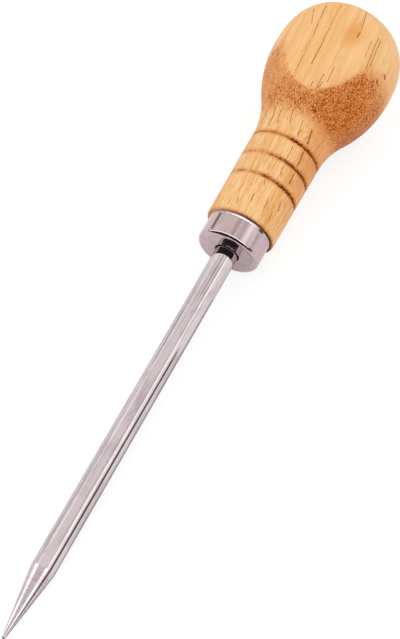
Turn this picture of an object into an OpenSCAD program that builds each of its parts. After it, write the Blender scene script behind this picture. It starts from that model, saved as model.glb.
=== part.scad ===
// Bradawl with a round blade, a pressed ferrule and a turned palm handle.
// It lies with its axis along X: the point is at -X, the butt at +X, and the flats of the bulb
// face +Z and -Z. The origin is on the axis, in the ferrule's front face.

/* [Blade] */
// Diameter of the round shank
shank_d = 6; // [3:0.5:9]
// Length of blade that stands out of the ferrule, with its point
blade_reach = 112.5; // [60:0.5:200]
// Length of the conical point
point_len = 18.6; // [8:0.1:40]
// Diameter of the rounded tip
tip_d = 0.9; // [0.4:0.1:2]
// Diameter of the round root, which is ground smaller than the shank
root_d = 5.6; // [2:0.1:8.5]
// Length of the root behind the ferrule's front face
root_len = 14; // [8:0.5:20]
// Length of the four-sided tang behind the root
tang_len = 30; // [15:0.5:40]
// Width of the tang's sides where it leaves the root
tang_w = 4; // [2:0.1:6]
// Width of the tang's sides at its far end
tang_end_w = 1.6; // [0.8:0.1:3]

/* [Ferrule] */
// Outside diameter of the ferrule
ferrule_d = 16.7; // [12:0.1:24]
// Length of the ferrule, from its front face to its rear rim
ferrule_len = 7.1; // [4:0.1:16]
// Thickness of the ferrule's sheet
ferrule_wall = 0.8; // [0.4:0.1:1.5]
// Radius that rounds the ferrule's front edge
ferrule_edge_r = 1.1; // [0.2:0.05:1.5]
// Space between the shank and the edge of the ferrule's hole
hole_gap = 0.22; // [0.05:0.01:1]

/* [Handle front] */
// Diameter of the wood where it meets the ferrule
front_d = 18.6; // [14:0.1:28]
// Diameter of the wood where the neck begins to swell
neck_d = 19.2; // [14:0.1:28]
// Number of scored grooves
groove_count = 3; // [0:1:4]
// Distance from the ferrule's rear rim to the first groove
first_groove_at = 12.4; // [4:0.1:20]
// Distance from one groove to the next
groove_pitch = 6.4; // [2:0.1:8]
// Width of a groove at the surface
groove_w = 1.1; // [0.4:0.1:2]
// Depth of a groove
groove_depth = 0.45; // [0.2:0.05:1.5]

/* [Handle bulb] */
// Largest diameter of the bulb
bulb_d = 33.7; // [26:0.1:50]
// Distance from the ferrule's front face to the bulb's widest place
bulb_at = 60.6; // [56:0.1:90]
// Length of the butt, from the widest place to its end
butt_len = 17.4; // [12:0.1:30]
// Fullness of the butt: 2 is an ellipse, and more is squarer
butt_fullness = 2.55; // [2:0.05:4]
// Radius of the belly's curve along the handle, in front of the widest place
belly_r = 32.3; // [20:0.1:60]
// Radius of the hollow that leads from the neck into the bulb
neck_r = 23.9; // [8:0.1:50]
// Distance from one flat of the bulb to the other
flat_span = 25.8; // [20:0.1:50]

/* [Fits] */
// Space all round between the ferrule and the wood in it, and between the blade and its hole
fit_gap = 0.05; // [0.01:0.01:0.2]

/* [Hidden] */
$fn = 96;

// Steps along the handle's curved lengths
fillet_steps = 12;
belly_steps = 14;
butt_steps = 26;
// Steps round the rounded tip
tip_steps = 6;

// How far a cutting shape runs past what it cuts
overrun = 1;

// Where the pieces meet
step_at = ferrule_len;
spigot_d = ferrule_d - 2 * ferrule_wall - 2 * fit_gap;
spigot_front = ferrule_wall + fit_gap;

// The belly's arc peaks at the widest place, and the neck's hollow touches both it and the neck.
belly_centre_r = bulb_d / 2 - belly_r;
hollow_centre_r = neck_d / 2 + neck_r;
hollow_at = bulb_at - sqrt(pow(belly_r + neck_r, 2) - pow(hollow_centre_r - belly_centre_r, 2));
sweep = acos((hollow_centre_r - belly_centre_r) / (belly_r + neck_r));

// Radius of the plain front at a distance behind the ferrule's face
function front_r(x) = (front_d + (neck_d - front_d) * (x - step_at) / (hollow_at - step_at)) / 2;

// The handle's curved outline: each point is a radius and a distance along the axis.
neck_hollow = [for (i = [0:fillet_steps]) let (a = sweep * i / fillet_steps)
    [hollow_centre_r - neck_r * cos(a), hollow_at + neck_r * sin(a)]];
belly = [for (i = [1:belly_steps]) let (a = sweep * (1 - i / belly_steps))
    [belly_centre_r + belly_r * cos(a), bulb_at - belly_r * sin(a)]];
butt = [for (i = [1:butt_steps - 1]) let (a = 90 * i / butt_steps)
    [bulb_d / 2 * pow(cos(a), 2 / butt_fullness), bulb_at + butt_len * pow(sin(a), 2 / butt_fullness)]];

// Lays a shape that was built along Z down along X.
module along_x() {
    rotate([0, 90, 0]) children();
}

// A bar with four sloping sides along Z, from z = 0 to its length.
module tapered_bar(w, end_w, len) {
    module side_view(depth) {
        rotate([90, 0, 0]) linear_extrude(depth, center = true)
            polygon([[-w / 2, 0], [w / 2, 0], [end_w / 2, len], [-end_w / 2, len]]);
    }
    intersection() {
        side_view(w);
        rotate([0, 0, 90]) side_view(w);
    }
}

// The solid of revolution that the handle is turned to, with its spigot.
module turned_wood() {
    rotate_extrude() polygon(concat(
        [[0, spigot_front], [spigot_d / 2, spigot_front], [spigot_d / 2, step_at], [front_d / 2, step_at]],
        neck_hollow, belly, butt, [[0, bulb_at + butt_len]]));
}

// One V-shaped ring cut, centred on a distance along the axis.
module groove(at) {
    r = front_r(at);
    slope = groove_w / 2 / groove_depth;
    rotate_extrude() polygon([
        [r - groove_depth, at],
        [r + overrun, at - (groove_depth + overrun) * slope],
        [r + overrun, at + (groove_depth + overrun) * slope]]);
}

// The hole that the blade's root and tang fill.
module blade_hole() {
    cylinder(h = root_len + fit_gap, d = root_d + 2 * fit_gap);
    translate([0, 0, root_len])
        tapered_bar(tang_w + 2 * fit_gap, tang_end_w + 2 * fit_gap, tang_len + fit_gap);
}

// Turned hardwood handle: spigot, plain front with grooves, neck, and bulb with two flats.
module handle() {
    color("#F0BE78") along_x() difference() {
        intersection() {
            turned_wood();
            translate([-flat_span / 2, -bulb_d, 0]) cube([flat_span, 2 * bulb_d, bulb_at + butt_len + overrun]);
        }
        for (i = [0:1:groove_count - 1]) groove(step_at + first_groove_at + i * groove_pitch);
        blade_hole();
    }
}

// Drawn steel cup over the spigot, with a rounded front edge and a hole for the blade.
module ferrule() {
    outer_r = ferrule_d / 2;
    color("#B8AEB4") along_x() rotate_extrude() difference() {
        union() {
            translate([0, ferrule_edge_r]) square([outer_r, ferrule_len - ferrule_edge_r]);
            square([outer_r - ferrule_edge_r, ferrule_edge_r]);
            translate([outer_r - ferrule_edge_r, ferrule_edge_r]) circle(r = ferrule_edge_r);
        }
        translate([0, -overrun]) square([shank_d / 2 + hole_gap, ferrule_wall + 2 * overrun]);
        translate([0, ferrule_wall]) square([outer_r - ferrule_wall, ferrule_len]);
    }
}

// One steel bar: rounded tip, conical point, round shank and root, and the tang.
module blade() {
    color("#C8C2C6") along_x() {
        rotate_extrude() polygon(concat(
            [for (i = [0:tip_steps]) let (a = 90 * i / tip_steps)
                [tip_d / 2 * sin(a), -blade_reach + tip_d / 2 * (1 - cos(a))]],
            [[shank_d / 2, -blade_reach + point_len], [shank_d / 2, 0],
             [root_d / 2, 0], [root_d / 2, root_len], [0, root_len]]));
        translate([0, 0, root_len]) tapered_bar(tang_w, tang_end_w, tang_len);
    }
}

handle();
ferrule();
blade();
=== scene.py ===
"""A bradawl and the studio that it is shown in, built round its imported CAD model."""

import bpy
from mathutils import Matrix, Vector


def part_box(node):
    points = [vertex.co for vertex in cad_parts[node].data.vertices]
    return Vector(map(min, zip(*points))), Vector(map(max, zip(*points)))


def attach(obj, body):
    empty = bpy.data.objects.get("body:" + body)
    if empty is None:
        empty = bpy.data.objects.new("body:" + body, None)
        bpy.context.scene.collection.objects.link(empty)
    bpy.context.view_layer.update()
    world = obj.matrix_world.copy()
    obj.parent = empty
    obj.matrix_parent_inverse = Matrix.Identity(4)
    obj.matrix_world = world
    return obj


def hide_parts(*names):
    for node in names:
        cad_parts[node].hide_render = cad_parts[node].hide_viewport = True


bl_info = {
    "name": "Bradawl",
    "version": (1, 0, 0),
    "blender": (4, 5, 0),
    "location": "View3D > Sidebar > Bradawl",
    "description": "Builds a round bradawl with a turned palm handle, and a studio for it",
    "category": "Object",
}

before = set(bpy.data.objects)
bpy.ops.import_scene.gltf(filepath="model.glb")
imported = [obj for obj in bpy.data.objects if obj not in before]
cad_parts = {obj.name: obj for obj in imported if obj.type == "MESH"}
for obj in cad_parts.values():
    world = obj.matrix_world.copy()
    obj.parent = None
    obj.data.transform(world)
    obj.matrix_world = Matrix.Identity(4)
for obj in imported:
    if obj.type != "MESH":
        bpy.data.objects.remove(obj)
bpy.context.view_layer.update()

import math

import bmesh
import bpy
from bpy.props import FloatProperty, FloatVectorProperty, IntProperty, PointerProperty
from mathutils import Matrix, Vector

MM = 0.001
BODY = "root"
BLADE_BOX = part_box("blade")
FERRULE_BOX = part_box("ferrule")
HANDLE_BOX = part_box("handle")
ALONG = Vector((1, 0, 0))
# Vertices that are closer than this count as being at one place, and are merged
TINY = 0.001 * MM

# Steps of the three spins, and of the curves of the outlines
HANDLE_STEPS, FERRULE_STEPS, BLADE_STEPS = 240, 192, 128
HOLLOW_STEPS, BELLY_STEPS, BUTT_STEPS = 26, 40, 90
TIP_STEPS, EDGE_STEPS, EASE_STEPS = 16, 16, 6

# Half the size of a pore in the cells of the pores' pattern, and the part of it that is fully dark
PORE_REACH = 0.25
PORE_CORE = 0.45
# The largest pores of the upper side: x and y of both ends, and half the width, in millimetres
STREAKS = (
    (71.0, 6.4, 60.6, 5.4, 0.14), (54.6, 4.9, 49.1, 4.6, 0.14), (73.0, 3.0, 68.3, 2.9, 0.12),
    (60.6, 5.4, 54.6, 4.9, 0.08), (68.3, 2.9, 65.4, 2.7, 0.09), (60.7, 2.4, 59.9, 2.2, 0.12),
    (65.4, 2.7, 60.6, 2.4, 0.14), (60.0, 2.2, 52.8, 1.9, 0.16), (68.9, 9.0, 64.4, 7.4, 0.13),
    (73.9, -3.8, 67.9, -5.1, 0.13), (67.1, -5.2, 65.2, -5.2, 0.26), (67.5, -10.1, 57.5, -11.2, 0.13),
    (67.3, -10.9, 58.9, -11.8, 0.12), (65.6, -9.0, 60.6, -9.6, 0.11), (51.2, -2.4, 46.5, -2.5, 0.18),
    (48.9, -3.0, 46.8, -3.0, 0.16), (54.4, -3.8, 49.4, -4.2, 0.14), (48.0, -0.8, 46.4, -0.9, 0.14),
    (57.9, -14.3, 57.2, -14.5, 0.3), (60.8, -15.1, 60.2, -15.3, 0.3), (38.8, 7.9, 35.2, 7.6, 0.12),
    (39.7, 5.6, 33.8, 4.7, 0.14), (39.0, 3.8, 35.2, 3.0, 0.13), (39.6, 0.6, 36.0, -0.1, 0.12),
    (38.1, -2.8, 33.6, -3.4, 0.14), (37.3, -5.7, 33.7, -6.1, 0.28), (31.0, -6.3, 27.0, -6.6, 0.18),
    (24.3, -6.8, 21.4, -7.0, 0.18), (30.6, -3.6, 26.8, -3.9, 0.13), (24.2, -4.0, 21.6, -4.4, 0.13),
    (18.3, -1.9, 16.8, -2.4, 0.14), (14.7, -4.6, 11.6, -4.9, 0.15), (11.0, 1.8, 9.0, 1.5, 0.13),
    (10.4, 3.7, 8.6, 3.6, 0.13), (16.4, -7.4, 13.6, -7.7, 0.12), (12.4, -6.8, 9.2, -7.1, 0.12),
    (13.6, -1.3, 11.3, -1.5, 0.14),
)
# x and y of the small knot on the upper flat, and how far its warm wood reaches, in millimetres
KNOT = (65.8, -3.8)
KNOT_REACH = 6.5
# How many times narrower the knot is across the grain
KNOT_SQUASH = 1.3
# Where the bulb turns away on the side of -Y, in millimetres
FAR_SIDE = (-12.5, -16.0)
# Angle between the grain and the handle
GRAIN_LEAN = math.radians(-3.5)
# How far the scorching is in front of the middle of a groove, in millimetres
SCORCH_SHIFT = 0.15
# Linear colour of the painted shade on the wood that shows in the ferrule's hole
PAINTED_SHADE_IN_HOLE = (0.004, 0.003, 0.002)
# How much rougher the plating is where it is smudged
SMUDGE_ROUGH = 0.07

# What the bright metal mirrors: brightness, angles from +Z towards -Y, distance from the axis, ends along X
CARDS = (
    ("overhead", (1.02, 0.99, 0.98), -44, 40, 0.6, 0.056, 0.2865),
    ("overhead_ferrule", (1.1, 1.12, 1.06), -44, 40, 0.6, 0.2865, 0.9),
    ("overhead_left", (1.15, 1.15, 1.08), -78, -44, 0.6, 0.2865, 0.9),
    ("right_strip", (1.6, 1.7, 1.6), 42, 59, 0.59, -0.15, 0.165),
    ("right_strip_high", (1.55, 1.62, 1.58), 41, 54, 0.59, 0.165, 0.282),
    ("right_high", (1.15, 1.15, 1.15), 60, 90, 0.6, 0.13, 0.2865),
    ("left_strip", (1.4, 1.45, 1.4), -57, -44, 0.58, 0.0648, 0.1877),
    ("left_strip_high", (1.2, 1.22, 1.2), -67, -55, 0.58, 0.1877, 0.29),
    ("point_left", (1.9, 2.0, 1.9), -80, -38, 0.6, -0.15, 0.03),
    ("point_middle", (0.9, 0.87, 0.88), -37, 29, 0.65, -0.185, -0.04),
    ("point_right", (2.0, 2.1, 2.0), 31, 60, 0.58, -0.16, -0.02),
    ("rim_light", 4.0, -80, 80, 0.6, -0.04, 0.055),
    ("right_gap", (0.14, 0.12, 0.11), 71, 90, 0.3, -0.055, 0.0937),
    ("point_gap", (0.25, 0.2, 0.22), 66, 88, 0.3, -0.13, -0.055),
    ("neck_gap", 0.01, 66, 88, 0.3, -0.35, -0.13),
    ("ferrule_bright", (1.55, 1.75, 1.7), 39, 52, 0.5, 0.2405, 0.5),
    ("ferrule_bright_low", (1.35, 1.45, 1.4), 52, 63, 0.5, 0.2405, 0.5),
    ("ferrule_line", 0.5, 79, 83, 0.3, 0.1455, 0.3),
    ("ferrule_right", (1.3, 1.35, 1.28), 62, 79, 0.5, 0.2405, 0.5),
    ("ferrule_left_line", (0.22, 0.15, 0.19), -87, -76, 0.5, 0.2405, 0.3),
    ("ferrule_seam", (0.86, 0.76, 0.7), -9, 6, 0.5, 0.2405, 0.4),
    ("ferrule_band", (0.9, 0.88, 0.86), 16, 29, 0.5, 0.2405, 0.4),
    ("left_gap", 0.2, -79, -71, 0.5, 0.165, 0.202),
    ("right_line", 0.7, 56, 60, 0.5, 0.182, 0.236),
    ("left_line", 0.5, -90, -85, 0.5, 0.107, 0.134),
    ("left_low", (0.8, 0.72, 0.75), -90, -79, 0.5, -0.2, 0.107),
    ("seam", 0.1, -1.5, 3.5, 0.5, 0.2082, 0.2398),
    ("seam_left", 0.45, -31, -25, 0.5, 0.2, 0.2398),
    ("seam_left_low", 0.85, -33, -26, 0.5, 0.16, 0.2),
    ("grey_band", 0.3, 25, 32, 0.5, 0.209, 0.2398),
    ("grey_band_low", 0.7, 25, 33, 0.5, 0.06, 0.209),
    ("dark_middle", (0.035, 0.03, 0.035), -38, 72, 0.9, -3.0, -0.25),
    ("dark_left", (0.05, 0.045, 0.05), -95, -38, 0.9, -3.0, -0.25),
)
# The soft light over the tool: angles, distance and ends as above, and its radiance
KEY = (-42, 42, 0.7, -0.5, 0.6)
KEY_RADIANCE = 0.3
# Distance from the middle of the floor to its edges
FLOOR_REACH = 1.5
# How far the shade beside the blade reaches at the point and at the ferrule, in millimetres
SHADE_AT_POINT, SHADE_AT_FERRULE = 3.5, 12.0
# The camera's sensor in millimetres, and the nearest and farthest that it sees, in metres
SENSOR = 36
NEAREST, FARTHEST = 0.01, 20
WHITE = (1, 1, 1, 1)


def srgb(code):
    """The linear colour of a written one, such as F0BE78."""
    parts = [int(code[i:i + 2], 16) / 255 for i in (0, 2, 4)]
    return tuple(p / 12.92 if p <= 0.04045 else ((p + 0.055) / 1.055) ** 2.4 for p in parts)


def length(name, description, millimetres):
    """A size property, written in millimetres."""
    return FloatProperty(name=name, description=description, default=millimetres * MM,
                         min=0, precision=5, subtype="DISTANCE", unit="LENGTH")


def colour(name, description, code):
    """A colour property, written as a hexadecimal code."""
    return FloatVectorProperty(name=name, description=description, default=srgb(code),
                               size=3, min=0, max=1, subtype="COLOR")


def share(name, description, value):
    """A property from 0 to 1."""
    return FloatProperty(name=name, description=description, default=value,
                         min=0, max=1, subtype="FACTOR")


class BradawlHandle(bpy.types.PropertyGroup):
    front_d: length("Front diameter", "Diameter of the wood behind the ferrule", 18.6)
    neck_d: length("Neck diameter", "Diameter where the neck begins to swell", 19.2)
    bulb_d: length("Bulb diameter", "Largest diameter of the bulb", 33.7)
    bulb_at: length("Bulb place", "Distance from the ferrule's face to the widest place", 60.6)
    fullness: FloatProperty(name="Butt fullness", description="2 is an ellipse, and more is squarer",
                            default=2.55, min=2, max=4)
    belly_r: length("Belly radius", "Radius of the curve in front of the widest place", 32.3)
    neck_r: length("Neck radius", "Radius of the hollow between neck and bulb", 23.9)
    groove_count: IntProperty(name="Grooves", description="Number of scored grooves", default=3, min=0)
    groove_at: length("First groove", "Distance from the ferrule's rear rim to the first groove", 12.4)
    groove_pitch: length("Groove pitch", "Distance from one groove to the next", 6.4)
    groove_w: length("Groove width", "Width of a groove at the surface", 1.1)
    groove_depth: length("Groove depth", "Depth of a groove", 0.45)
    ease: length("Eased edge", "Radius that takes the sharpness off the grooves", 0.12)
    front_ease: length("Front edge", "Radius that rounds the wood's front edge", 0.6)
    sanding: length("Sanded edge", "Softness of the edge round each flat", 0.9)
    pale: colour("Pale wood", "Colour of the early wood", "F3C68F")
    # Also the colour of the painted light on the bulb's far side
    light: colour("Light fibres", "Colour of the lightest fibres", "FAD59C")
    warm: colour("Warm wood", "Colour of the late wood", "E0A158")
    end_grain: colour("End grain", "Colour where the surface cuts across the fibres", "CE7222")
    speck: colour("Specks", "Colour of the cut pores in the end grain", "742C02")
    pore: colour("Pores", "Colour of the open pores", "8A5218")
    # The colour of the dark threads, and of the painted shade on one side of the neck
    painted_shade_and_threads: colour("Flank", "Colour of the darker wood on one side of the neck", "D07A3A")
    knot: colour("Knot", "Colour of the wood round the small knot", "DB8E3C")
    burnt: colour("Burnt wood", "Colour of the wood that the grooves have scorched", "CC742C")
    # The colour of the dark gap against the ferrule and of the painted shadow along it
    gap_and_painted_shadow: colour("Front edge shade", "Colour of the wood against the ferrule", "240E04")
    char: colour("Groove bottom", "Colour of the bottom of the grooves", "6C2E06")


class BradawlMetal(bpy.types.PropertyGroup):
    wall: length("Ferrule wall", "Thickness of the ferrule's sheet", 0.8)
    edge_r: length("Ferrule edge", "Radius of the ferrule's front edge", 1.1)
    hole_gap: length("Hole gap", "Space between the shank and the ferrule's hole", 0.3)
    flare: length("Ferrule flare", "How far the ferrule's rear edge is belled out", 0.2)
    flare_len: length("Flare length", "Length of the belled part", 0.8)
    hold: length("Hold", "Distance from a rounded edge to the loop that keeps the wall straight", 0.1)
    rim_r: length("Ferrule rim", "Radius that rounds the ferrule's other edges", 0.25)
    tip_d: length("Tip diameter", "Diameter of the rounded tip", 0.9)
    point_len: length("Point length", "Length of the conical point", 18.6)
    root_d: length("Root diameter", "Diameter of the root inside the handle", 5.6)
    root_len: length("Root length", "Length of the root", 14)
    tang_w: length("Tang width", "Width of the tang where it leaves the root", 4)
    tang_end_w: length("Tang end width", "Width of the tang at its far end", 1.6)
    fit: length("Fit", "Space between the hidden steel and the wood", 0.05)
    # Both platings are darker and more lilac than bare plating: partly the plating's own colour and partly a
    # painted reflection of lilac surroundings
    ferrule_plating_and_painted_reflection: colour("Ferrule plating", "Colour of the ferrule's bright plating", "BFAAAD")
    blade_plating_and_painted_reflection: colour("Blade plating", "Colour of the blade's bright plating", "D0C4C7")
    marks: colour("Turning marks", "Colour of the turning marks on the point", "6E6167")
    soil: colour("Smudges", "Colour of the faint smudges on the plating", "9A8891")


class BradawlStudio(bpy.types.PropertyGroup):
    azimuth: FloatProperty(name="Camera azimuth", description="Round the part, from the front",
                           default=math.radians(-56.31), subtype="ANGLE", unit="ROTATION")
    elevation: FloatProperty(name="Camera elevation", description="Above the part's plane",
                             default=math.radians(61.11), subtype="ANGLE", unit="ROTATION")
    roll: FloatProperty(name="Camera roll", description="Turn of the picture",
                        default=math.radians(7.25), subtype="ANGLE", unit="ROTATION")
    distance: length("Camera distance", "From the camera to the plane of the ferrule's face", 500)
    offset_right: length("Face right", "How far right of the centre the ferrule's face is", 6.7)
    offset_up: length("Face up", "How far above the centre the ferrule's face is", 16.525)
    lens: FloatProperty(name="Lens", description="Focal length for a 36 mm long side",
                        default=112.7, min=1, subtype="DISTANCE_CAMERA")
    floor: colour("Floor", "Colour of the floor", "F4F2F3")
    shade: share("Floor shade", "Part of the floor's white that comes from the light on it", 0.22)
    glow: share("Floor glow", "How much of the floor's white is its own", 0.82)
    mirrored_shade: share("Mirrored shade", "The floor's shade where bright surfaces show it", 0.8)
    mirrored_glow: share("Mirrored glow", "The floor's glow where bright surfaces show it", 0.26)
    # Painted shadow on the floor beside the blade, which only bright surfaces show
    under: share("Shade under the tool", "Part of the mirrored floor's light that is left there", 0.5)
    fill: FloatProperty(name="Fill", description="Strength of the light from all round", default=0.91, min=0)


def arc(along, out, radius, start, end, steps):
    """Points on an arc beside the axis, as (along, out). Angle 0 points away from the axis."""
    turns = [start + (end - start) * i / steps for i in range(steps + 1)]
    return [(along + radius * math.sin(t), out + radius * math.cos(t)) for t in turns]


def wire(points, closed=False):
    """A bmesh that holds an outline beside the axis, and its vertices in order."""
    bm = bmesh.new()
    verts = [bm.verts.new((x, 0, r)) for x, r in points]
    for a, b in zip(verts, verts[1:] + verts[:1] if closed else verts[1:]):
        bm.edges.new((a, b))
    return bm, verts


def round_corners(bm, verts, radius, steps=4):
    """Rounds corners of an outline."""
    bmesh.ops.bevel(bm, geom=verts, offset=radius, segments=steps,
                    profile=0.5, affect="VERTICES", material=-1)


def turn(bm, steps):
    """Spins an outline all the way round the axis."""
    bmesh.ops.spin(bm, geom=bm.verts[:] + bm.edges[:], cent=(0, 0, 0), axis=ALONG, angle=math.tau,
                   steps=steps, use_merge=True)
    bmesh.ops.remove_doubles(bm, verts=bm.verts[:], dist=TINY)


def open_rim(bm, along):
    """The open edges at one place along the axis."""
    return [e for e in bm.edges if e.is_boundary and all(abs(v.co.x - along) < TINY for v in e.verts)]


def four_sided_end(bm, start, end, width, end_width):
    """Carries an open round rim on as a four-sided taper, closed at its far end."""
    round_rim = open_rim(bm, start)
    place = Matrix.Translation(((start + end) / 2, 0, 0))
    place @= Matrix.Rotation(math.pi / 2, 4, "Y") @ Matrix.Rotation(math.pi / 4, 4, "Z")
    bmesh.ops.create_cone(bm, segments=4, radius1=width / math.sqrt(2), radius2=end_width / math.sqrt(2),
                          depth=end - start, matrix=place)
    square_rim = [e for e in open_rim(bm, start) if e not in round_rim]
    bmesh.ops.bridge_loops(bm, edges=round_rim + square_rim)
    bmesh.ops.contextual_create(bm, geom=open_rim(bm, end))


def new_object(name, data):
    """An object in the scene."""
    made = bpy.data.objects.new(name, data)
    bpy.context.scene.collection.objects.link(made)
    return made


def finish_piece(bm, name, material, node, sharp):
    """Makes the mesh a piece that stands for a CAD node."""
    bmesh.ops.recalc_face_normals(bm, faces=bm.faces[:])
    mesh = bpy.data.meshes.new(name)
    bm.to_mesh(mesh)
    bm.free()
    mesh.shade_smooth()
    mesh.set_sharp_from_angle(angle=math.radians(sharp))
    mesh.materials.append(material)
    piece = new_object(name, mesh)
    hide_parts(node)
    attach(piece, BODY)
    return piece


def new_material(name):
    """A material with an empty node tree."""
    made = bpy.data.materials.new(name)
    made.use_nodes = True
    made.node_tree.nodes.clear()
    return made, made.node_tree


def add(tree, kind, inputs=None, **settings):
    """Adds a shader node, with its settings, and sets or links its inputs."""
    made = tree.nodes.new("ShaderNode" + kind)
    for name, value in settings.items():
        setattr(made, name, value)
    for name, value in (inputs or {}).items():
        if isinstance(value, bpy.types.NodeSocket):
            tree.links.new(value, made.inputs[name])
        else:
            made.inputs[name].default_value = value
    return made


def maths(tree, operation, a, b=0.0, clamp=False):
    """A math node's result."""
    return add(tree, "Math", {0: a, 1: b}, operation=operation, use_clamp=clamp).outputs[0]


def surface(tree, shader):
    """Makes a shader the material's surface."""
    add(tree, "OutputMaterial", {"Surface": shader.outputs[0]})


def plus(tree, total, *others):
    """The sum of values."""
    for other in others:
        total = maths(tree, "ADD", total, other)
    return total


def times(tree, product, *others):
    """The product of values."""
    for other in others:
        product = maths(tree, "MULTIPLY", product, other)
    return product


def between(tree, value, low, high, to_low=0.0, to_high=1.0):
    """A value carried from one range to another, clamped and smooth."""
    ends = {"From Min": low, "From Max": high, "To Min": to_low, "To Max": to_high}
    return add(tree, "MapRange", {"Value": value, **ends}, interpolation_type="SMOOTHSTEP").outputs[0]


def stretched(tree, vector, scale):
    """A vector scaled along each axis."""
    return add(tree, "VectorMath", {0: vector, 1: scale}, operation="MULTIPLY").outputs[0]


def noise(tree, vector, scale, detail=2.0, roughness=0.5, distortion=0.0):
    """The value of a noise texture that is scaled along each axis."""
    return add(tree, "TexNoise",
               {"Vector": stretched(tree, vector, scale), "Scale": 1.0, "Detail": detail,
                "Roughness": roughness, "Distortion": distortion}).outputs[0]


def wander(tree, value, width):
    """A noise's value spread evenly to both sides of 0."""
    return times(tree, maths(tree, "SUBTRACT", value, 0.5), width)


def blend(tree, amount, a, b):
    """Two colours mixed."""
    made = add(tree, "Mix", {0: amount}, data_type="RGBA")
    for number, value in ((6, a), (7, b)):
        if isinstance(value, bpy.types.NodeSocket):
            tree.links.new(value, made.inputs[number])
        else:
            made.inputs[number].default_value = (*value, 1)
    return made.outputs[2]


def group(name, inputs, outputs):
    """A new shader node group, with its input and output nodes."""
    tree = bpy.data.node_groups.new(name, "ShaderNodeTree")
    for label, (kind, default) in inputs.items():
        socket = tree.interface.new_socket(label, in_out="INPUT", socket_type=kind)
        if default is not None:
            socket.default_value = default
    for label, kind in outputs.items():
        tree.interface.new_socket(label, in_out="OUTPUT", socket_type=kind)
    return tree, tree.nodes.new("NodeGroupInput"), tree.nodes.new("NodeGroupOutput")


def pores_group():
    """Long thin pores that lie along the grain, as a mask. Where the surface cuts them they are dots."""
    tree, given, result = group(
        "Pores",
        {"Vector": ("NodeSocketVector", None), "Half Length": ("NodeSocketFloat", 5.0),
         "Half Width": ("NodeSocketFloat", 0.08), "Share": ("NodeSocketFloat", 0.3)},
        {"Mask": "NodeSocketFloat"})
    along = maths(tree, "DIVIDE", PORE_REACH, given.outputs["Half Length"])
    across = maths(tree, "DIVIDE", PORE_REACH, given.outputs["Half Width"])
    scale = add(tree, "CombineXYZ", {0: along, 1: across, 2: across}).outputs[0]
    cells = add(tree, "TexVoronoi",
                {"Vector": stretched(tree, given.outputs["Vector"], scale), "Scale": 1.0})
    mask = between(tree, cells.outputs["Distance"], PORE_REACH, PORE_REACH * PORE_CORE)
    chance = add(tree, "SeparateColor", {0: cells.outputs["Color"]})
    kept = maths(tree, "LESS_THAN", chance.outputs[0], given.outputs["Share"])
    dark = between(tree, chance.outputs[1], 0.0, 1.0, 0.35, 1.0)
    tree.links.new(times(tree, mask, kept, dark), result.inputs["Mask"])
    return tree


def pores(tree, kind, vector, half_length, half_width, share_kept):
    """Places the pores group and gives its mask. Sizes are in millimetres."""
    return add(tree, "Group",
               {"Vector": vector, "Half Length": half_length, "Half Width": half_width, "Share": share_kept},
               node_tree=kind).outputs["Mask"]


def streak_group():
    """Adds one large pore to a mask. The vector holds a place's x and y, and the mask as its third part."""
    tree, given, result = group(
        "Streak",
        {"Vector": ("NodeSocketVector", None), "Start": ("NodeSocketVector", None),
         "Run": ("NodeSocketVector", None), "Inverse": ("NodeSocketFloat", 1.0),
         "Half Width": ("NodeSocketFloat", 0.1)},
        {"Vector": "NodeSocketVector"})
    run, half_width = given.outputs["Run"], given.outputs["Half Width"]
    x, y, so_far = add(tree, "SeparateXYZ", {0: given.outputs["Vector"]}).outputs
    ends = {0: given.outputs["Vector"], 1: given.outputs["Start"]}
    here = add(tree, "VectorMath", ends, operation="SUBTRACT").outputs[0]
    here = stretched(tree, here, (1, 1, 0))
    reach = add(tree, "VectorMath", {0: here, 1: run}, operation="DOT_PRODUCT").outputs[1]
    part = maths(tree, "MULTIPLY", reach, given.outputs["Inverse"], clamp=True)
    nearest = add(tree, "VectorMath", {0: run, "Scale": part}, operation="SCALE").outputs[0]
    distance = add(tree, "VectorMath", {0: here, 1: nearest}, operation="DISTANCE").outputs[1]
    mask = between(tree, distance, half_width, times(tree, half_width, 0.3))
    mask = maths(tree, "MAXIMUM", mask, so_far)
    passed = add(tree, "CombineXYZ", {0: x, 1: y, 2: mask}).outputs[0]
    tree.links.new(passed, result.inputs["Vector"])
    return tree


def streaks(tree, place):
    """The large pores of the wood's upper side, as one mask."""
    kind = streak_group()
    x, y, z = add(tree, "SeparateXYZ", {0: place}).outputs
    y = plus(tree, y, wander(tree, noise(tree, place, (0.5, 1.0, 1.0)), 0.5))
    passed = add(tree, "CombineXYZ", {0: x, 1: y, 2: 0.0}).outputs[0]
    for x0, y0, x1, y1, half_width in STREAKS:
        run = Vector((x1 - x0, y1 - y0, 0))
        passed = add(tree, "Group",
                     {"Vector": passed, "Start": (x0, y0, 0), "Run": run,
                      "Inverse": 1 / run.length_squared, "Half Width": half_width},
                     node_tree=kind).outputs[0]
    mask = add(tree, "SeparateXYZ", {0: passed}).outputs[2]
    ragged = between(tree, noise(tree, place, (1.3, 7.0, 7.0)), 0.3, 0.5, 0.6, 1.0)
    upper = between(tree, z, 0.0, 1.0)
    return times(tree, mask, ragged, upper)


def millimetres(tree):
    """Object coordinates in millimetres."""
    return stretched(tree, add(tree, "TexCoord").outputs["Object"], (1 / MM,) * 3)


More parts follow.
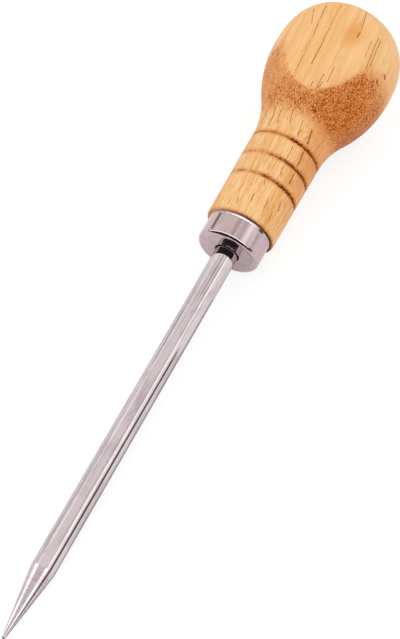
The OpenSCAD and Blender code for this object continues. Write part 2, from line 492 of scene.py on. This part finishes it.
class Wood:
    """The handle's wood while its material is made. Places and distances are in millimetres."""

    def __init__(self, tree, sizes):
        self.tree = tree
        self.sizes = sizes
        self.place = millimetres(tree)
        self.along, self.across, self.up = add(tree, "SeparateXYZ", {0: self.place}).outputs
        lean = (0, 0, GRAIN_LEAN)
        self.grain = add(tree, "Mapping", {"Vector": self.place, "Rotation": lean}).outputs[0]
        self.bulb_at = sizes.bulb_at / MM
        self.neck_end = self.bulb_at - 15.0
        # Between these two places the bulb's look changes to the plain front's
        self.to_front = (self.neck_end, self.neck_end - 8.0)
        slope = add(tree, "Attribute", attribute_name="slope").outputs["Fac"]
        self.slope = plus(tree, slope, between(tree, self.across, -6.0, -14.0, 0.0, -0.05))
        self.cut = self.cut_share()
        self.lower = between(tree, self.across, 9.0, -9.0)
        mottle = noise(tree, self.grain, (0.5, 1.1, 1.1), detail=3.0, roughness=0.6)
        self.mottle = between(tree, mottle, 0.35, 0.65)
        self.patches = between(tree, noise(tree, self.grain, (0.1, 0.2, 0.2)), 0.38, 0.6)
        self.fibres = noise(tree, self.grain, (0.2, 3.2, 3.2), detail=4.0, roughness=0.65)
        self.specks = noise(tree, self.grain, (1.8, 3.3, 3.3), detail=1.5, roughness=0.6)
        self.rough_edge = noise(tree, self.place, (2.5, 2.0, 2.0), detail=4.0, roughness=0.7)
        self.pores = pores_group()

    def cut_share(self):
        """How far the surface cuts across the fibres: on the belly, a little on the butt and the far side."""
        tree = self.tree
        swell = between(tree, self.along, self.bulb_at - 24.0, self.bulb_at - 18.0)
        belly = times(tree, between(tree, self.slope, -0.03, -0.26), swell,
                      between(tree, self.across, *FAR_SIDE, 1.0, 0.55))
        butt = between(tree, self.slope, 0.4, 0.95, 0.0, 0.3)
        far_side = times(tree, between(tree, self.across, *FAR_SIDE, 0.0, 0.2), swell)
        return maths(tree, "ADD", plus(tree, belly, butt), far_side, clamp=True)

    def early_and_late(self):
        """Pale early wood and warmer late wood."""
        tree = self.tree
        broad = noise(tree, self.grain, (0.012, 0.16, 0.16), distortion=0.4)
        bands = noise(tree, self.grain, (0.02, 0.9, 0.9), detail=4.0, roughness=0.6)
        tone = plus(tree, times(tree, broad, 0.3), times(tree, bands, 0.35), times(tree, self.fibres, 0.35))
        palest = between(tree, self.along, *self.to_front, 0.34, 0.39)
        warmest = between(tree, self.along, *self.to_front, 0.72, 0.62)
        return blend(tree, between(tree, tone, palest, warmest), self.sizes.pale, self.sizes.warm)

    def painted_flank_shade(self, base):
        """A painted shade on one side of the neck, which fades towards the bulb and the front."""
        tree = self.tree
        amount = times(tree, between(tree, self.across, -2.0, -9.0, 0.0, 0.5),
                       between(tree, self.along, self.neck_end + 11.0, self.neck_end + 2.0),
                       between(tree, self.along, 14.0, 30.0, 0.2, 1.0))
        return blend(tree, amount, base, self.sizes.painted_shade_and_threads)

    def threads(self, base):
        """Fine dark and light threads, strongest in front of the bulb and on its far side."""
        tree = self.tree
        threads = noise(tree, self.grain, (0.22, 4.5, 4.5), roughness=0.6)
        in_front = between(tree, self.along, self.neck_end + 6.0, self.neck_end, 0.3, 1.0)
        strength = maths(tree, "MAXIMUM", in_front, between(tree, self.across, -12.0, -15.0))
        dark = times(tree, between(tree, threads, 0.54, 0.7, 0.0, 0.75), strength)
        light = times(tree, between(tree, threads, 0.46, 0.3, 0.0, 0.5), strength)
        return blend(tree, light, blend(tree, dark, base, self.sizes.painted_shade_and_threads), self.sizes.light)

    def painted_edge_light(self, base):
        """A painted light on the far side, where the surface runs along the fibres, in the light fibres'
        colour.
        """
        tree = self.tree
        amount = times(tree, between(tree, self.across, -10.0, -14.0, 0.0, 0.4),
                       between(tree, self.slope, -0.1, 0.0))
        return blend(tree, amount, base, self.sizes.light)

    def knotted(self, base):
        """Warmer wood round the small knot."""
        tree = self.tree
        x, y = KNOT
        distance = add(tree, "VectorMath",
                       {0: stretched(tree, self.place, (1, KNOT_SQUASH, 0)), 1: (x, y * KNOT_SQUASH, 0)},
                       operation="DISTANCE").outputs[1]
        amount = times(tree, between(tree, distance, KNOT_REACH, 0.5, 0.0, 0.62),
                       between(tree, self.up, 0.0, 1.0))
        return blend(tree, amount, base, self.sizes.knot)

    def soaked_and_painted_shade(self, base):
        """Deeper and mottled colour where the fibres are cut, darkest towards -Y, where it is a painted
        shade.
        """
        tree = self.tree
        # The share of self.lower is the painted shade towards -Y
        depth = plus(tree, times(tree, self.mottle, 0.3), times(tree, self.lower, 0.33),
                     times(tree, self.patches, 0.15), 0.38)
        return blend(tree, times(tree, depth, self.cut), base, self.sizes.end_grain)

    def light_specks(self, base):
        """Pale specks among the cut fibres, strongest in the middle of the belly."""
        tree = self.tree
        strength = times(tree, between(tree, self.lower, 0.85, 0.55, 0.35, 0.6),
                         between(tree, self.lower, 0.1, 0.35, 0.5, 1.0))
        amount = times(tree, between(tree, self.specks, 0.44, 0.33), self.cut, strength)
        return blend(tree, amount, base, self.sizes.pale)

    def dark_specks(self, base):
        """The cut pores: dark specks and dots, which crowd towards -Y and in patches."""
        tree = self.tree
        crowd = plus(tree, times(tree, self.lower, 0.072), times(tree, self.patches, 0.04))
        crowd = times(tree, crowd, between(tree, self.cut, 0.2, 0.9))
        specks = between(tree, plus(tree, self.specks, crowd), 0.588, 0.655, 0.0, 0.95)
        dots = pores(tree, self.pores, self.grain, half_length=0.45, half_width=0.16, share_kept=0.6)
        dots = maths(tree, "MULTIPLY", dots, plus(tree, times(tree, crowd, 7.0), 0.3), clamp=True)
        amount = times(tree, maths(tree, "MAXIMUM", specks, dots), between(tree, self.cut, 0.1, 0.8),
                       between(tree, self.mottle, 0.0, 1.0, 0.58, 1.0))
        return blend(tree, amount, base, self.sizes.speck)

    def open_pores(self):
        """The pores that lie along the surface, as a mask."""
        tree = self.tree
        long_pores = pores(tree, self.pores, self.grain, half_length=6.0, half_width=0.1, share_kept=0.08)
        short_pores = pores(tree, self.pores, self.grain, half_length=1.7, half_width=0.075, share_kept=0.45)
        strength = maths(tree, "MAXIMUM", between(tree, self.along, *self.to_front, 0.3, 0.7),
                         between(tree, self.across, -11.0, -14.0, 0.0, 0.8))
        mask = maths(tree, "MAXIMUM", times(tree, long_pores, 0.6), times(tree, short_pores, strength))
        return maths(tree, "MAXIMUM", mask, times(tree, streaks(tree, self.place), 0.95))

    def from_groove(self):
        """Distance from the nearest groove, made ragged."""
        tree, sizes = self.tree, self.sizes
        first = FERRULE_BOX[1].x / MM + sizes.groove_at / MM - SCORCH_SHIFT
        pitch = sizes.groove_pitch / MM
        behind_first = maths(tree, "SUBTRACT", self.along, first)
        number = maths(tree, "ROUND", maths(tree, "DIVIDE", behind_first, pitch))
        number = maths(tree, "MINIMUM", maths(tree, "MAXIMUM", number, 0.0), sizes.groove_count - 1)
        distance = maths(tree, "ABSOLUTE", maths(tree, "SUBTRACT", behind_first, times(tree, number, pitch)))
        return plus(tree, distance, wander(tree, self.rough_edge, 1.8))

    def scorched(self, base):
        """The grooves' burnt sides and charred bottoms, which grow darker towards -Y as a painted shade, and
        the char as a mask.
        """
        tree, sizes = self.tree, self.sizes
        distance = self.from_groove()
        lumps = between(tree, noise(tree, self.place, (0.1, 0.45, 0.45)), 0.35, 0.65, -0.2, 0.3)
        # The part of the strength that grows towards -Y is painted shade; the lumps are the scorching's own
        strength = maths(tree, "ADD", between(tree, self.across, 4.0, -7.0, 0.18, 1.0), lumps, clamp=True)
        burnt = times(tree, between(tree, distance, 1.3, 0.25), plus(tree, strength, 0.5), 0.6)
        base = blend(tree, burnt, base, sizes.burnt)
        widened = maths(tree, "SUBTRACT", distance, times(tree, strength, 0.2))
        charred = times(tree, between(tree, widened, 0.4, 0.05), strength)
        return blend(tree, charred, base, sizes.char), charred

    def against_ferrule(self, base):
        """A dark line against the ferrule, partly its gap and partly a painted shadow, a warmer edge, and a
        painted shade in its hole.
        """
        tree, sizes = self.tree, self.sizes
        ferrule_r, rim_at = FERRULE_BOX[1].z / MM, FERRULE_BOX[1].x / MM
        radius = add(tree, "VectorMath", {0: stretched(tree, self.place, (0, 1, 1))},
                     operation="LENGTH").outputs[1]
        radius = plus(tree, radius, wander(tree, self.rough_edge, 1.2))
        # The dark line is partly the gap at the joint and partly a painted shadow, stronger towards -Y
        line = times(tree, between(tree, radius, ferrule_r + 1.0, ferrule_r + 0.45),
                     between(tree, self.along, rim_at + 1.0, rim_at + 0.5),
                     between(tree, self.across, 6.0, -4.0, 0.15, 1.0))
        base = blend(tree, line, base, sizes.gap_and_painted_shadow)
        edge = between(tree, plus(tree, self.along, self.rough_edge), rim_at + 1.6, rim_at + 0.6, 0.0, 0.25)
        base = blend(tree, edge, base, sizes.burnt)
        # A painted shade, near black, on the wood that shows in the ferrule's hole
        return blend(tree, between(tree, self.along, 3.0, 1.5), base, PAINTED_SHADE_IN_HOLE)


def wood(sizes):
    """Lacquered open-pored hardwood with its grain along the handle."""
    made, tree = new_material("lacquered_wood")
    look = Wood(tree, sizes)
    base = look.early_and_late()
    for layer in (look.painted_flank_shade, look.threads, look.painted_edge_light, look.knotted, look.soaked_and_painted_shade,
                  look.light_specks, look.dark_specks):
        base = layer(base)
    open_pores = look.open_pores()
    base = blend(tree, open_pores, base, sizes.pore)
    base, charred = look.scorched(base)
    base = look.against_ferrule(base)
    height = plus(tree, times(tree, open_pores, -0.6), times(tree, look.fibres, 0.2),
                  times(tree, look.specks, look.cut, 0.5))
    bump = add(tree, "Bump", {"Height": height, "Strength": 0.3, "Distance": 0.1 * MM})
    rough = between(tree, maths(tree, "MAXIMUM", open_pores, charred), 0.0, 1.0, 0.4, 0.8)
    shader = add(tree, "BsdfPrincipled",
                 {"Base Color": base, "Roughness": rough, "Normal": bump.outputs[0],
                  "Specular IOR Level": 0.08, "Coat Weight": 0.05, "Coat Roughness": 0.2})
    surface(tree, shader)
    return made


def drawn_lines():
    """Fine lines from drawing and polishing, and faint smudges, on bright metal: a group, made once."""
    if "Drawn lines" in bpy.data.node_groups:
        return bpy.data.node_groups["Drawn lines"]
    tree, given, result = group(
        "Drawn lines",
        {"Vector": ("NodeSocketVector", None), "Scale": ("NodeSocketVector", None)},
        {"Height": "NodeSocketFloat", "Smudge": "NodeSocketFloat"})
    place = given.outputs["Vector"]
    lines = noise(tree, place, given.outputs["Scale"], detail=4.0, roughness=0.6)
    smudge = noise(tree, place, (0.12, 0.5, 0.5), detail=4.0, roughness=0.65)
    tree.links.new(lines, result.inputs["Height"])
    tree.links.new(between(tree, smudge, 0.42, 0.72), result.inputs["Smudge"])
    return tree


def turning_marks(tree, place, metal):
    """The rings that turning left on the blade's point: their height, and where they are dark."""
    along = add(tree, "SeparateXYZ", {0: place}).outputs[0]
    shoulder = BLADE_BOX[0].x / MM + metal.point_len / MM
    here = times(tree, between(tree, along, shoulder + 0.6, shoulder - 0.4),
                 between(tree, along, shoulder - 14.0, shoulder - 4.0, 0.4, 1.0))
    turned = noise(tree, place, (1.4, 0.03, 0.03), detail=3.0, roughness=0.7)
    dark = times(tree, between(tree, turned, 0.46, 0.62, 0.0, 0.28), here)
    return times(tree, turned, here), dark


def plated(name, metal, plating, lines, depth, polish, edge, turned_point=False):
    """Bright plating over drawn steel. Lines scales the drawn lines, and depth is in millimetres."""
    made, tree = new_material(name)
    place = millimetres(tree)
    drawn = add(tree, "Group", {"Vector": place, "Scale": lines}, node_tree=drawn_lines())
    height, smudge = drawn.outputs["Height"], drawn.outputs["Smudge"]
    tint = blend(tree, times(tree, smudge, 0.5), plating, metal.soil)
    if turned_point:
        rings, dark = turning_marks(tree, place, metal)
        height = plus(tree, height, rings)
        tint = blend(tree, dark, tint, metal.marks)
    bump = add(tree, "Bump", {"Height": height, "Strength": 0.5, "Distance": depth * MM})
    rough = between(tree, smudge, 0.0, 1.0, polish, polish + SMUDGE_ROUGH)
    shader = add(tree, "BsdfPrincipled",
                 {"Base Color": tint, "Metallic": 1.0, "Roughness": rough, "Normal": bump.outputs[0],
                  "Specular Tint": (*edge, 1)})
    surface(tree, shader)
    return made


class BRADAWL_OT_handle(bpy.types.Operator):
    """Turn the wooden handle, sand its flats and finish it"""
    bl_idname = "bradawl.handle"
    bl_label = "Make the handle"

    def outline(self, size, metal):
        """The outline from the end of the blade's hole to the butt, and which points are groove corners."""
        spigot_front, butt_end = HANDLE_BOX[0].x, HANDLE_BOX[1].x
        step = FERRULE_BOX[1].x
        spigot_r = FERRULE_BOX[1].z - metal.wall - metal.fit
        hole_r = metal.root_d / 2 + metal.fit
        hole_end = metal.root_len + metal.fit
        belly_out = size.bulb_d / 2 - size.belly_r
        hollow_out = size.neck_d / 2 + size.neck_r
        reach = size.belly_r + size.neck_r
        sweep = math.acos((hollow_out - belly_out) / reach)
        hollow_at = size.bulb_at - reach * math.sin(sweep)

        points = [(hole_end, hole_r), (spigot_front, hole_r), (spigot_front, spigot_r),
                  (step, spigot_r), (step, size.front_d / 2)]
        corners = []
        for i in range(size.groove_count):
            at = step + size.groove_at + i * size.groove_pitch
            out = (size.front_d + (size.neck_d - size.front_d) * (at - step) / (hollow_at - step)) / 2
            half = size.groove_w / 2
            corners += range(len(points), len(points) + 3)
            points += [(at - half, out), (at, out - size.groove_depth), (at + half, out)]
        points += arc(hollow_at, hollow_out, size.neck_r, math.pi, math.pi - sweep, HOLLOW_STEPS)
        points += arc(size.bulb_at, belly_out, size.belly_r, -sweep, 0, BELLY_STEPS)[1:]
        butt_len = butt_end - size.bulb_at
        power = 2 / size.fullness
        for i in range(1, BUTT_STEPS):
            t = math.pi / 2 * i / BUTT_STEPS
            points.append((size.bulb_at + butt_len * math.sin(t) ** power,
                           size.bulb_d / 2 * math.cos(t) ** power))
        points.append((butt_end, 0))
        return points, corners

    def sand_flats(self, bm, half, softness):
        """Brings what stands above a flat down to it, and eases the edge round it."""
        for v in bm.verts:
            above = abs(v.co.z)
            free = min(max(0.5 + (half - above) / (2 * softness), 0), 1)
            level = half * (1 - free) + above * free - softness * free * (1 - free)
            v.co.z = math.copysign(level, v.co.z)

    def mark_slope(self, piece):
        """Stores the slope of the surface along the grain, which the wood's look reads."""
        mesh = piece.data
        slope = mesh.attributes.new("slope", "FLOAT", "POINT")
        slope.data.foreach_set("value", [n.vector.x for n in mesh.vertex_normals])

    def execute(self, context):
        size, metal = context.scene.bradawl_handle, context.scene.bradawl_metal
        points, corners = self.outline(size, metal)
        bm, verts = wire(points)
        front_edge = verts[4:5]
        round_corners(bm, [verts[i] for i in corners], size.ease)
        round_corners(bm, front_edge, size.front_ease, EASE_STEPS)
        turn(bm, HANDLE_STEPS)
        four_sided_end(bm, metal.root_len + metal.fit, BLADE_BOX[1].x + metal.fit,
                       metal.tang_w + 2 * metal.fit, metal.tang_end_w + 2 * metal.fit)
        self.sand_flats(bm, HANDLE_BOX[1].z, size.sanding)
        piece = finish_piece(bm, "turned_handle", wood(size), "handle", sharp=50)
        self.mark_slope(piece)
        return {"FINISHED"}


class BRADAWL_OT_ferrule(bpy.types.Operator):
    """Press the ferrule"""
    bl_idname = "bradawl.ferrule"
    bl_label = "Make the ferrule"

    def execute(self, context):
        metal = context.scene.bradawl_metal
        front, back, out = FERRULE_BOX[0].x, FERRULE_BOX[1].x, FERRULE_BOX[1].z
        hole_r = BLADE_BOX[1].z + metal.hole_gap
        inside, belled = out - metal.wall, back - metal.flare_len
        points = [(front, hole_r), (front, out), (front + metal.edge_r + metal.hold, out),
                  (belled - metal.flare_len / 3, out), (belled, out), (back, out + metal.flare),
                  (back, inside), (front + metal.wall, inside), (front + metal.wall, hole_r)]
        bm, verts = wire(points, closed=True)
        front_edge, bell, rims = verts[1:2], verts[4:5], [verts[0]] + verts[5:7]
        round_corners(bm, front_edge, metal.edge_r, EDGE_STEPS)
        round_corners(bm, bell, metal.flare_len / 4, EASE_STEPS)
        round_corners(bm, rims, metal.rim_r)
        turn(bm, FERRULE_STEPS)
        look = plated("plated_ferrule", metal, metal.ferrule_plating_and_painted_reflection, lines=(0.3, 3.0, 3.0),
                      depth=0.004, polish=0.09, edge=(1, 1, 1))
        finish_piece(bm, "pressed_ferrule", look, "ferrule", sharp=40)
        return {"FINISHED"}


class BRADAWL_OT_blade(bpy.types.Operator):
    """Turn the blade's point and shank, and forge its tang"""
    bl_idname = "bradawl.blade"
    bl_label = "Make the blade"

    def execute(self, context):
        metal = context.scene.bradawl_metal
        tip, tang_end, shank_r = BLADE_BOX[0].x, BLADE_BOX[1].x, BLADE_BOX[1].z
        tip_r = metal.tip_d / 2
        slope = (shank_r - tip_r) / (metal.point_len - tip_r)
        hold = 3 * metal.hold
        shoulder = tip + metal.point_len
        points = arc(tip + tip_r, 0, tip_r, -math.pi / 2, 0, TIP_STEPS)
        points += [(tip + tip_r + hold, tip_r + hold * slope), (shoulder - hold, shank_r - hold * slope)]
        points += [(shoulder, shank_r), (shoulder + hold, shank_r), (0, shank_r),
                   (0, metal.root_d / 2), (metal.root_len, metal.root_d / 2)]
        bm, verts = wire(points)
        turn(bm, BLADE_STEPS)
        four_sided_end(bm, metal.root_len, tang_end, metal.tang_w, metal.tang_end_w)
        # The blade's darker edge tint paints shade along its grazing edges
        look = plated("plated_blade", metal, metal.blade_plating_and_painted_reflection, lines=(0.02, 3.0, 3.0),
                      depth=0.006, polish=0.05, edge=(0.72, 0.68, 0.74), turned_point=True)
        finish_piece(bm, "steel_blade", look, "blade", sharp=6)
        return {"FINISHED"}


class BRADAWL_OT_studio(bpy.types.Operator):
    """Set up the floor, the soft light and the camera"""
    bl_idname = "bradawl.studio"
    bl_label = "Make the studio"

    def seen(self, tree):
        """1 for rays from the camera, and for rays that bright or clear surfaces send on."""
        path = add(tree, "LightPath")
        both = maths(tree, "MAXIMUM", path.outputs["Is Camera Ray"], path.outputs["Is Glossy Ray"])
        return maths(tree, "MAXIMUM", both, path.outputs["Is Transmission Ray"])

    def facing(self, low, high, distance, start, end):
        """Place and size of a panel that faces the axis: angles from +Z towards -Y, and its ends along X."""
        middle, half = math.radians((low + high) / 2), math.radians((high - low) / 2)
        out = Vector((0, -math.sin(middle), math.cos(middle)))
        turned = Matrix((ALONG, out.cross(ALONG), out)).transposed().to_4x4()
        place = Matrix.Translation(out * distance + ALONG * (start + end) / 2) @ turned
        return place, end - start, 2 * distance * math.tan(half)

    def light(self, name, place, long, wide, radiance):
        """A soft box that lights the scene and doesn't show in bright surfaces."""
        data = bpy.data.lights.new(name, "AREA")
        data.shape = "RECTANGLE"
        data.size, data.size_y = long, wide
        # The power of an area lamp is four times its radiance times its area
        data.energy = 4 * radiance * long * wide
        lamp = new_object(name, data)
        lamp.matrix_world = place
        lamp.visible_camera = lamp.visible_glossy = False

    def panel(self, name, place, reach, material):
        """A flat panel of the stage, with its place in its mesh."""
        bm = bmesh.new()
        bmesh.ops.create_grid(bm, x_segments=1, y_segments=1, size=reach, matrix=place)
        mesh = bpy.data.meshes.new(name)
        bm.to_mesh(mesh)
        bm.free()
        mesh.materials.append(material)
        return new_object(name, mesh)

    def card(self, name, brightness, place, long, wide):
        """A card that only bright surfaces show."""
        made, tree = new_material(name)
        tint = brightness if isinstance(brightness, tuple) else (brightness,) * 3
        surface(tree, add(tree, "Emission", {"Color": (*tint, 1)}))
        card = self.panel(name, place @ Matrix.Diagonal((long, wide, 1, 1)), 0.5, made)
        card.visible_camera = card.visible_diffuse = card.visible_shadow = False

    def painted_shadow_beside_blade(self, tree, place):
        """The part of the floor beside the blade where a shadow is painted, as a mask."""
        x, y = add(tree, "SeparateXYZ", {0: place}).outputs[:2]
        reach = between(tree, x, BLADE_BOX[0].x / MM, 0.0, SHADE_AT_POINT, SHADE_AT_FERRULE)
        beside = maths(tree, "DIVIDE", y, reach)
        return times(tree, between(tree, beside, -1.2, -0.9), between(tree, beside, 0.3, 0.0),
                     between(tree, x, -7.0, -10.0))

    def floor_look(self, studio):
        """Matt and pale where it only lights the tool, and white where it shows. From below it is clear."""
        made, tree = new_material("floor")
        lit = add(tree, "BsdfDiffuse", {"Color": (*studio.floor, 1)})
        camera = add(tree, "LightPath").outputs["Is Camera Ray"]
        # A painted shadow beside the blade, which only bright surfaces show
        under = self.painted_shadow_beside_blade(tree, millimetres(tree))
        shaded = times(tree, between(tree, under, 0.0, 1.0, 1.0, studio.under), studio.mirrored_shade)
        part = between(tree, camera, 0.0, 1.0, shaded, studio.shade)
        part = add(tree, "BsdfDiffuse", {"Color": part})
        white = between(tree, camera, 0.0, 1.0, studio.mirrored_glow, studio.glow)
        white = add(tree, "Emission", {"Color": white})
        both = add(tree, "AddShader", {0: part.outputs[0], 1: white.outputs[0]})
        shown = add(tree, "MixShader", {0: self.seen(tree), 1: lit.outputs[0], 2: both.outputs[0]})
        below = times(tree, add(tree, "NewGeometry").outputs["Backfacing"], camera)
        clear = add(tree, "BsdfTransparent")
        surface(tree, add(tree, "MixShader", {0: below, 1: shown.outputs[0], 2: clear.outputs[0]}))
        return made

    def floor(self, studio, handle):
        """A pale floor, tilted so that the tool lies on it by its point and the edge of a flat."""
        tip_r = bpy.context.scene.bradawl_metal.tip_d / 2
        flat = HANDLE_BOX[1].z
        belly_out = handle.bulb_d / 2 - handle.belly_r
        edge = Vector((handle.bulb_at - math.sqrt(handle.belly_r ** 2 - (flat - belly_out) ** 2), 0, -flat))
        tip = Vector((BLADE_BOX[0].x + tip_r, 0, -tip_r))
        run = (edge - tip).normalized()
        across = Vector((0, 1, 0))
        turned = Matrix((run, across, run.cross(across))).transposed().to_4x4()
        floor = self.panel("floor", Matrix.Translation(tip) @ turned, FLOOR_REACH, self.floor_look(studio))

    def world(self, studio):
        """An even surround: white where it shows, and a gentler fill where it only lights."""
        made = bpy.data.worlds.new("studio")
        bpy.context.scene.world = made
        made.use_nodes = True
        tree = made.node_tree
        tree.nodes.clear()
        fill = add(tree, "Background", {"Color": WHITE, "Strength": studio.fill})
        white = add(tree, "Background", {"Color": WHITE})
        mixed = add(tree, "MixShader", {0: self.seen(tree), 1: fill.outputs[0], 2: white.outputs[0]})
        add(tree, "OutputWorld", {"Surface": mixed.outputs[0]})

    def camera(self, studio):
        """The camera at the photograph's angle, with the ferrule's face at its place in the picture."""
        level = math.cos(studio.elevation)
        back = Vector((math.sin(studio.azimuth) * level, -math.cos(studio.azimuth) * level,
                       math.sin(studio.elevation)))
        right = Vector((0, 0, 1)).cross(back).normalized()
        right.rotate(Matrix.Rotation(-studio.roll, 3, back))
        up = back.cross(right)
        data = bpy.data.cameras.new("camera")
        data.sensor_width = SENSOR
        data.lens = studio.lens
        data.clip_start, data.clip_end = NEAREST, FARTHEST
        camera = new_object("camera", data)
        place = back * studio.distance - right * studio.offset_right - up * studio.offset_up
        camera.matrix_world = Matrix.Translation(place) @ Matrix((right, up, back)).transposed().to_4x4()
        bpy.context.scene.camera = camera

    def execute(self, context):
        studio, handle = context.scene.bradawl_studio, context.scene.bradawl_handle
        self.camera(studio)
        self.world(studio)
        self.floor(studio, handle)
        self.light("key", *self.facing(*KEY), KEY_RADIANCE)
        for name, brightness, *where in CARDS:
            self.card(name, brightness, *self.facing(*where))
        context.scene.view_settings.view_transform = "Standard"
        return {"FINISHED"}


class BRADAWL_PT_panel(bpy.types.Panel):
    """The bradawl's sizes and colours, and the buttons that build it"""
    bl_idname = "BRADAWL_PT_panel"
    bl_label = "Bradawl"
    bl_space_type = "VIEW_3D"
    bl_region_type = "UI"
    bl_category = "Bradawl"

    def draw(self, context):
        for operator, group_name in STEPS:
            box = self.layout.box()
            box.operator(operator)
            values = getattr(context.scene, group_name)
            for name in values.__annotations__:
                box.prop(values, name)


STEPS = (("bradawl.studio", "bradawl_studio"), ("bradawl.handle", "bradawl_handle"),
         ("bradawl.ferrule", "bradawl_metal"), ("bradawl.blade", "bradawl_metal"))
GROUPS = {"bradawl_handle": BradawlHandle, "bradawl_metal": BradawlMetal, "bradawl_studio": BradawlStudio}
CLASSES = (*GROUPS.values(), BRADAWL_OT_handle, BRADAWL_OT_ferrule, BRADAWL_OT_blade, BRADAWL_OT_studio,
           BRADAWL_PT_panel)


def register():
    for cls in CLASSES:
        bpy.utils.register_class(cls)
    for name, cls in GROUPS.items():
        setattr(bpy.types.Scene, name, PointerProperty(type=cls))


def unregister():
    for name in GROUPS:
        delattr(bpy.types.Scene, name)
    for cls in reversed(CLASSES):
        bpy.utils.unregister_class(cls)


def main():
    """Builds the studio and every piece."""
    register()
    bpy.ops.bradawl.studio()
    bpy.ops.bradawl.handle()
    bpy.ops.bradawl.ferrule()
    bpy.ops.bradawl.blade()


if __name__ == "__main__":
    main()
